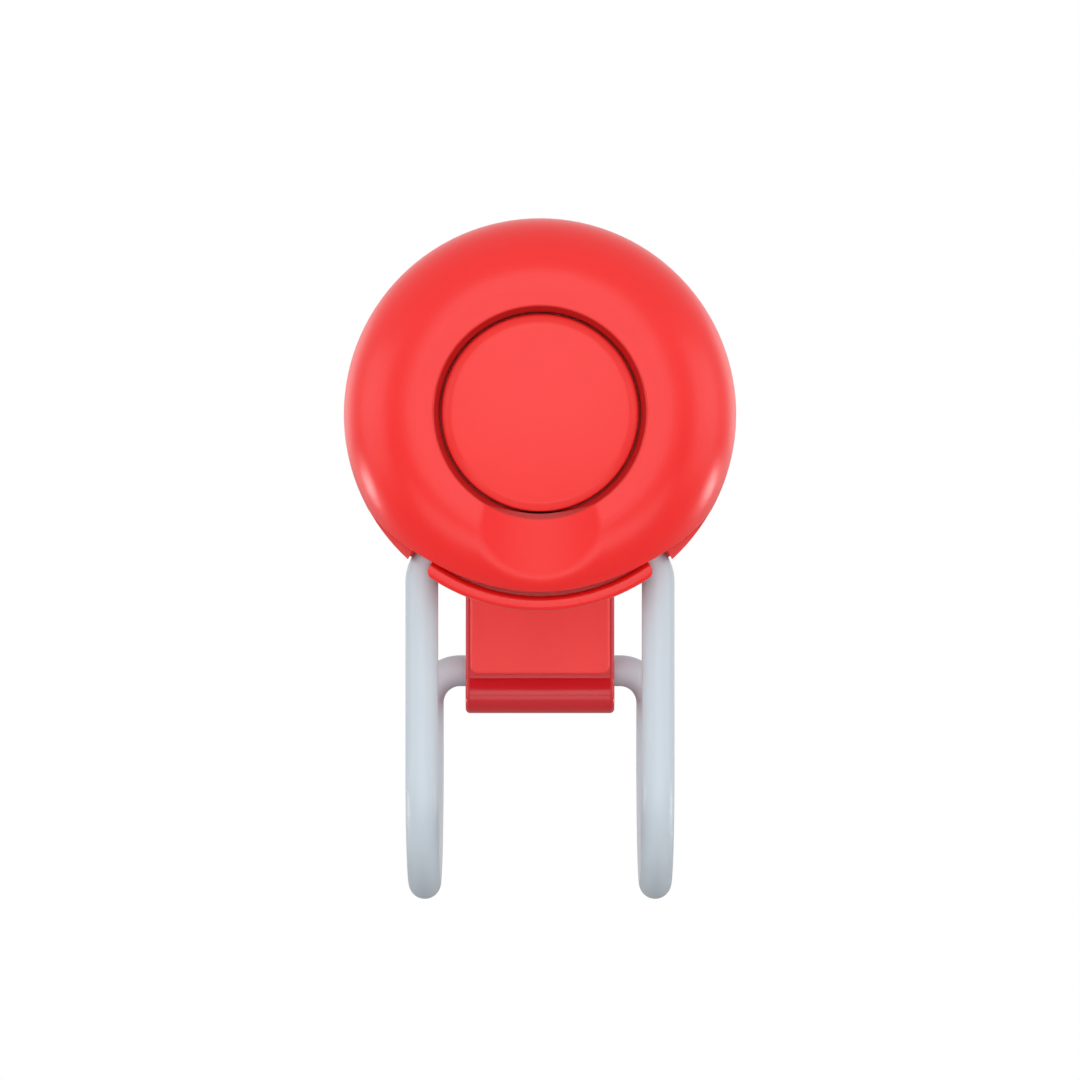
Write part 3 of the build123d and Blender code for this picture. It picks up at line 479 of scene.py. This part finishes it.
def wire_half(steps):
    """Points and side directions along half of the loop, as straight runs and arcs laid end to end."""
    u = np.linspace(0, 1, steps, endpoint=False)[:, None]
    quarter, half_turn = u * np.pi / 2, u * np.pi
    corner_x = LEG_X - CORNER_RADIUS
    front_start = np.array([0, -BEND_RADIUS, FRONT_HEIGHT])
    front_middle = np.array([corner_x, -BEND_RADIUS, FRONT_HEIGHT - CORNER_RADIUS])
    leg_top = np.array([LEG_X, -BEND_RADIUS, FRONT_HEIGHT - CORNER_RADIUS])
    rear_leg = np.array([LEG_X, BEND_RADIUS, 0])
    rear_middle = np.array([corner_x, BEND_RADIUS, REAR_HEIGHT - CORNER_RADIUS])
    rear_top = np.array([corner_x, BEND_RADIUS, REAR_HEIGHT])
    runs = [
        (front_start + u * corner_x * x_axis, x_axis + 0 * u),
        (
            front_middle + CORNER_RADIUS * (np.sin(quarter) * x_axis + np.cos(quarter) * z_axis),
            np.cos(quarter) * x_axis - np.sin(quarter) * z_axis,
        ),
        (leg_top - u * leg_top[2] * z_axis, -z_axis + 0 * u),
        (
            LEG_X * x_axis - BEND_RADIUS * (np.cos(half_turn) * y_axis + np.sin(half_turn) * z_axis),
            np.sin(half_turn) * y_axis - np.cos(half_turn) * z_axis,
        ),
        (rear_leg + u * rear_middle[2] * z_axis, z_axis + 0 * u),
        (
            rear_middle + CORNER_RADIUS * (np.cos(quarter) * x_axis + np.sin(quarter) * z_axis),
            np.cos(quarter) * z_axis - np.sin(quarter) * x_axis,
        ),
        (rear_top - u * corner_x * x_axis, -x_axis + 0 * u),
    ]
    path = np.concatenate([points for points, _ in runs])
    ahead = np.concatenate([direction for _, direction in runs])
    facing = np.concatenate([np.tile(side, (3 * steps, 1)) for side in (y_axis, -y_axis)])
    across = np.concatenate([
        np.cross(facing[: 3 * steps], ahead[: 3 * steps]),
        np.tile(-x_axis, (steps, 1)),
        np.cross(facing[3 * steps :], ahead[4 * steps :]),
    ])
    return path, across, np.cross(ahead, across)


def both_halves(right, middle):
    """The right half, the middle of the rear run, and the right half mirrored and run backwards."""
    mirror = np.array([-1.0, 1.0, 1.0])
    return np.concatenate([right, middle, (right * mirror)[:0:-1]])


path, across, beside = wire_half(RUN_STEPS)
rear_centre = np.array([[0.0, BEND_RADIUS, REAR_HEIGHT]])
wire_grid = tube(
    both_halves(path, rear_centre),
    both_halves(across, across[-1:]),
    both_halves(beside, beside[-1:]),
    WIRE_RADIUS,
    WIRE_SIDES,
)
wire_loop = surface("wire_loop", wire_grid, wrap_rows=True, wrap_columns=True)
dress(wire_loop, "bail", "grey_wire", "wire_bail")

# %% [markdown]
# The button is turned about its own axis: a slightly domed face, a soft bevel, the straight side that
# slides in the sleeve, the flange that stops it from falling out, and the stem that reaches the switch. The
# flange has a flat below.

# %% Push button
FACE_RADIUS = 11.3
FACE_HEIGHT = 9.2
FACE_CROWN = 0.5
BEVEL_FOOT = 8.2
SIDE_RADIUS = 12.4
FLANGE_RADIUS = 13.4
FLANGE_FRONT = 5.7
FLANGE_BACK = 4.9
HOLLOW_RADIUS = 10.8
CEILING_HEIGHT = 6.0
STEM_RADIUS = 1.5
STEM_END = 2.9
FACE_STEPS = 24
CORNER_STEPS = 6
BUTTON_STEPS = 144


def softened(corners, cuts, steps):
    """A profile with rounded corners.

    Each corner B becomes a curve (1-t)^2 A + 2t(1-t) B + t^2 C.
    A and C lie on the two sides of B, back from it by the corner's cut.
    """
    t = np.linspace(0, 1, steps)[:, None]
    rounded = [corners[:1]]
    for before, corner, after, cut in zip(corners[:-2], corners[1:-1], corners[2:], cuts):
        start = corner + (before - corner) / np.linalg.norm(before - corner) * cut
        end = corner + (after - corner) / np.linalg.norm(after - corner) * cut
        rounded.append((1 - t) ** 2 * start + 2 * t * (1 - t) * corner + t**2 * end)
    rounded.append(corners[-1:])
    return np.concatenate(rounded)


def button_profile():
    """Radius and height forward of the rim: a crown H - c (r / R)^2, then the edge and the hollow."""
    face_radius = np.linspace(0, FACE_RADIUS, FACE_STEPS)
    crown = np.stack([face_radius, FACE_HEIGHT - FACE_CROWN * (face_radius / FACE_RADIUS) ** 2], axis=1)
    edge = np.array([
        [FACE_RADIUS, FACE_HEIGHT - FACE_CROWN],
        [SIDE_RADIUS, BEVEL_FOOT],
        [SIDE_RADIUS, FLANGE_FRONT],
        [FLANGE_RADIUS, FLANGE_FRONT],
        [FLANGE_RADIUS, FLANGE_BACK],
        [HOLLOW_RADIUS, FLANGE_BACK],
        [HOLLOW_RADIUS, CEILING_HEIGHT],
        [STEM_RADIUS, CEILING_HEIGHT],
        [STEM_RADIUS, STEM_END],
        [0.0, STEM_END],
    ])
    cuts = [0.25, 0.3, 0.1, 0.1, 0.15, 0.15, 0.3, 0.3, 0.15]
    corners = np.concatenate([crown[-2:-1], edge])
    return np.concatenate([crown[:-2], softened(corners, cuts, CORNER_STEPS)])


turn = np.linspace(0, 2 * np.pi, BUTTON_STEPS, endpoint=False)[None, :]
radius, forward = (column[:, None] for column in button_profile().T)
flat_below = SIDE_RADIUS / np.maximum(-np.sin(turn), 0.5)
cut_flange = np.minimum(radius, np.maximum(flat_below, SIDE_RADIUS))
radius = np.where(radius > SIDE_RADIUS, cut_flange, radius)
button_grid = np.stack(
    [radius * np.cos(turn), RIM_Y - forward + 0 * turn, AXIS_HEIGHT + radius * np.sin(turn)], axis=-1
)
push_button = surface("button_cap", button_grid * MM, wrap_rows=False, wrap_columns=True)
dress(push_button, "button", "red_button", "push_button")

# %% [markdown]
# The return spring is a coil of hard-drawn wire. It stands on the board and shortens as the button goes in.

# %% Return spring
COIL_RADIUS = 5.35
COIL_WIRE = 0.35
COIL_TURNS = 4
COIL_STEPS = 60
COIL_SIDES = 12
COIL_INSET = 0.4
BOARD_FACE = -17.4
CEILING = RIM_Y - CEILING_HEIGHT

coil_foot, coil_top = BOARD_FACE - COIL_INSET, CEILING + COIL_INSET
t = np.linspace(0, 1, COIL_STEPS * COIL_TURNS + 1)[:, None]
angle = 2 * np.pi * COIL_TURNS * t
outward = np.cos(angle) * x_axis + np.sin(angle) * z_axis
coil = COIL_RADIUS * outward + (coil_foot + (coil_top - coil_foot) * t) * y_axis + AXIS_HEIGHT * z_axis
thickness = COIL_WIRE * np.minimum(1, np.minimum(t, 1 - t) * 400).ravel() ** 0.5
coil_grid = tube(coil, outward, y_axis + 0 * outward, thickness, COIL_SIDES)
return_spring = surface("return_spring", coil_grid * MM, wrap_rows=False, wrap_columns=True)
dress(return_spring, "case", "spring_steel", "button_spring")
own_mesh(return_spring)

# %% [markdown]
# The metronome hangs in the air, so the floor lies well below it. The floor is pale and keeps a soft shadow
# under the loop, and fades into the white surroundings farther out. It is a round sheet whose rings lie
# closer near the middle.

# %% Floor
FLOOR_HEIGHT = -0.15
FLOOR_RADIUS = 3.0
FADE_START = 0.16
FADE_END = 0.40
SEEN_TONE = (0.82, 0.82, 0.82, 1)
BOUNCE_TONE = (0.5, 0.5, 0.5, 1)


def pale_floor():
    """A matt paint that is pale to the lens, greyer to the light it returns, and white beyond the fade."""
    material = bpy.data.materials.new("pale_floor")
    material.use_nodes = True
    tree = material.node_tree
    paint = tree.nodes["Principled BSDF"]
    paint.inputs["Roughness"].default_value = 0.9
    rays = tree.nodes.new("ShaderNodeLightPath")
    tone = tree.nodes.new("ShaderNodeMix")
    tone.data_type = "RGBA"
    tone.inputs["A"].default_value = BOUNCE_TONE
    tone.inputs["B"].default_value = SEEN_TONE
    tree.links.new(rays.outputs["Is Camera Ray"], tone.inputs["Factor"])
    tree.links.new(tone.outputs["Result"], paint.inputs["Base Color"])
    place = tree.nodes.new("ShaderNodeTexCoord")
    away = tree.nodes.new("ShaderNodeVectorMath")
    away.operation = "LENGTH"
    fade = tree.nodes.new("ShaderNodeMapRange")
    fade.interpolation_type = "SMOOTHSTEP"
    fade.inputs["From Min"].default_value = FADE_START
    fade.inputs["From Max"].default_value = FADE_END
    tree.links.new(place.outputs["Object"], away.inputs[0])
    tree.links.new(away.outputs["Value"], fade.inputs["Value"])
    white = tree.nodes.new("ShaderNodeEmission")
    blend = tree.nodes.new("ShaderNodeMixShader")
    tree.links.new(times(tree, fade.outputs["Result"], rays.outputs["Is Camera Ray"]), blend.inputs[0])
    tree.links.new(paint.outputs[0], blend.inputs[1])
    tree.links.new(white.outputs[0], blend.inputs[2])
    tree.links.new(blend.outputs[0], tree.nodes["Material Output"].inputs["Surface"])
    return material


reach = np.linspace(0, 1, 40)[:, None] ** 2 * FLOOR_RADIUS
sweep = np.linspace(0, 2 * np.pi, 96, endpoint=False)[None, :]
disc = np.stack([reach * np.cos(sweep), reach * np.sin(sweep), FLOOR_HEIGHT + 0 * reach * sweep], axis=-1)
floor = surface("floor", disc, wrap_rows=False, wrap_columns=True)
floor.data.materials.append(pale_floor())
